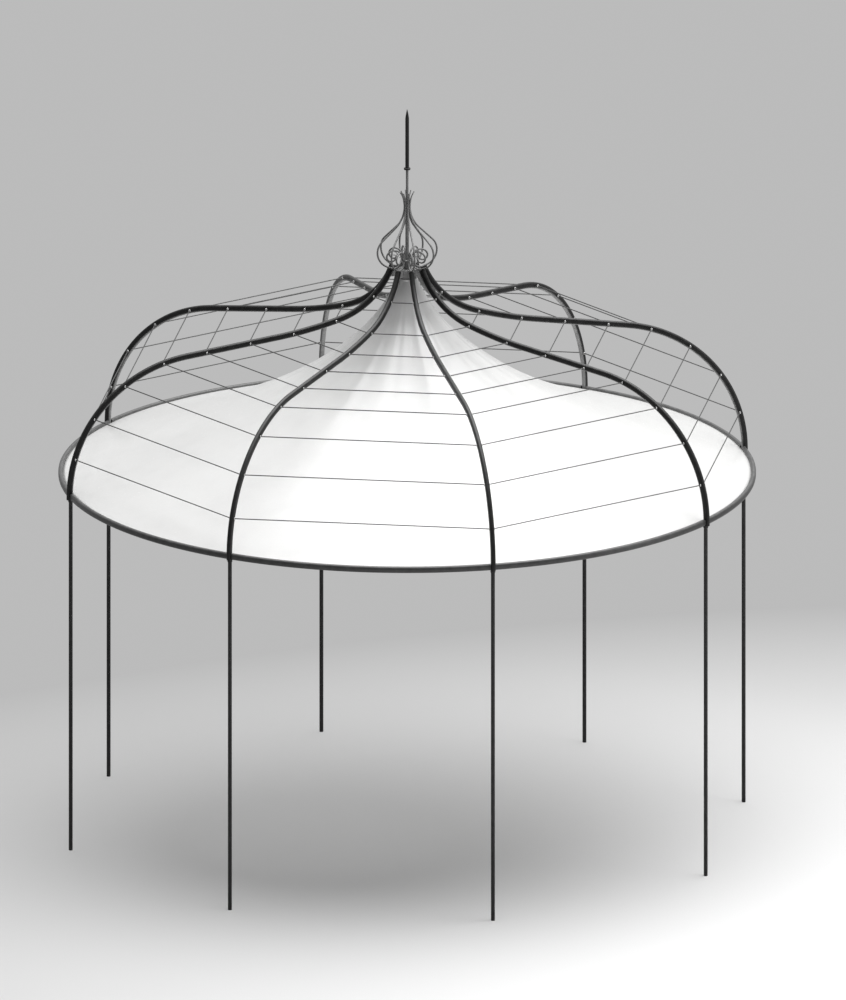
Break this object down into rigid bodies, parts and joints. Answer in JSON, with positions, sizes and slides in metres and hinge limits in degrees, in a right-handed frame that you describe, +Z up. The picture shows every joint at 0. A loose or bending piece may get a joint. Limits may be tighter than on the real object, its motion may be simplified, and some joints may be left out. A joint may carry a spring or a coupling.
{
  "type": "round garden canopy",
  "caption": "Round garden canopy on slim posts, with S-curved ribs, rib-to-rib wires, a concave fabric cone and a scrolled cage with a needle on top.",
  "frame": {"origin": "centre of the plan at floor level, midway between the post feet", "axes": "+Z up along the canopy's axis; -Y is the middle of the front bay, +X to its right"},
  "size_m": [4.22, 4.22, 4.5144],
  "materials": {
    "post_paint": "satin charcoal paint",
    "ring_paint": "satin charcoal paint",
    "rib_paint": "satin charcoal paint",
    "wire_steel": "dull drawn wire",
    "canopy_fabric": "matt white woven cloth",
    "crown_paint": "satin charcoal paint"
  },
  "bodies": {
    "root": {"post_1": "post_paint", "post_2": "post_paint", "post_3": "post_paint", "post_4": "post_paint", "post_5": "post_paint", "post_6": "post_paint", "post_7": "post_paint", "post_8": "post_paint", "eaves_ring_1": "ring_paint", "eaves_ring_2": "ring_paint", "eaves_ring_3": "ring_paint", "eaves_ring_4": "ring_paint", "eaves_ring_5": "ring_paint", "eaves_ring_6": "ring_paint", "eaves_ring_7": "ring_paint", "eaves_ring_8": "ring_paint", "rib_1": "rib_paint", "rib_2": "rib_paint", "rib_3": "rib_paint", "rib_4": "rib_paint", "rib_5": "rib_paint", "rib_6": "rib_paint", "rib_7": "rib_paint", "rib_8": "rib_paint", "wires_1": "wire_steel", "wires_2": "wire_steel", "wires_3": "wire_steel", "wires_4": "wire_steel", "wires_5": "wire_steel", "wires_6": "wire_steel", "wires_7": "wire_steel", "wires_8": "wire_steel", "canopy_gore_1": "canopy_fabric", "canopy_gore_2": "canopy_fabric", "canopy_gore_3": "canopy_fabric", "canopy_gore_4": "canopy_fabric", "canopy_gore_5": "canopy_fabric", "canopy_gore_6": "canopy_fabric", "canopy_gore_7": "canopy_fabric", "canopy_gore_8": "canopy_fabric", "crown_hub": "crown_paint", "crown_cage": "crown_paint", "crown_rod": "crown_paint", "crown_needle": "crown_paint"}
  },
  "joints": []
}
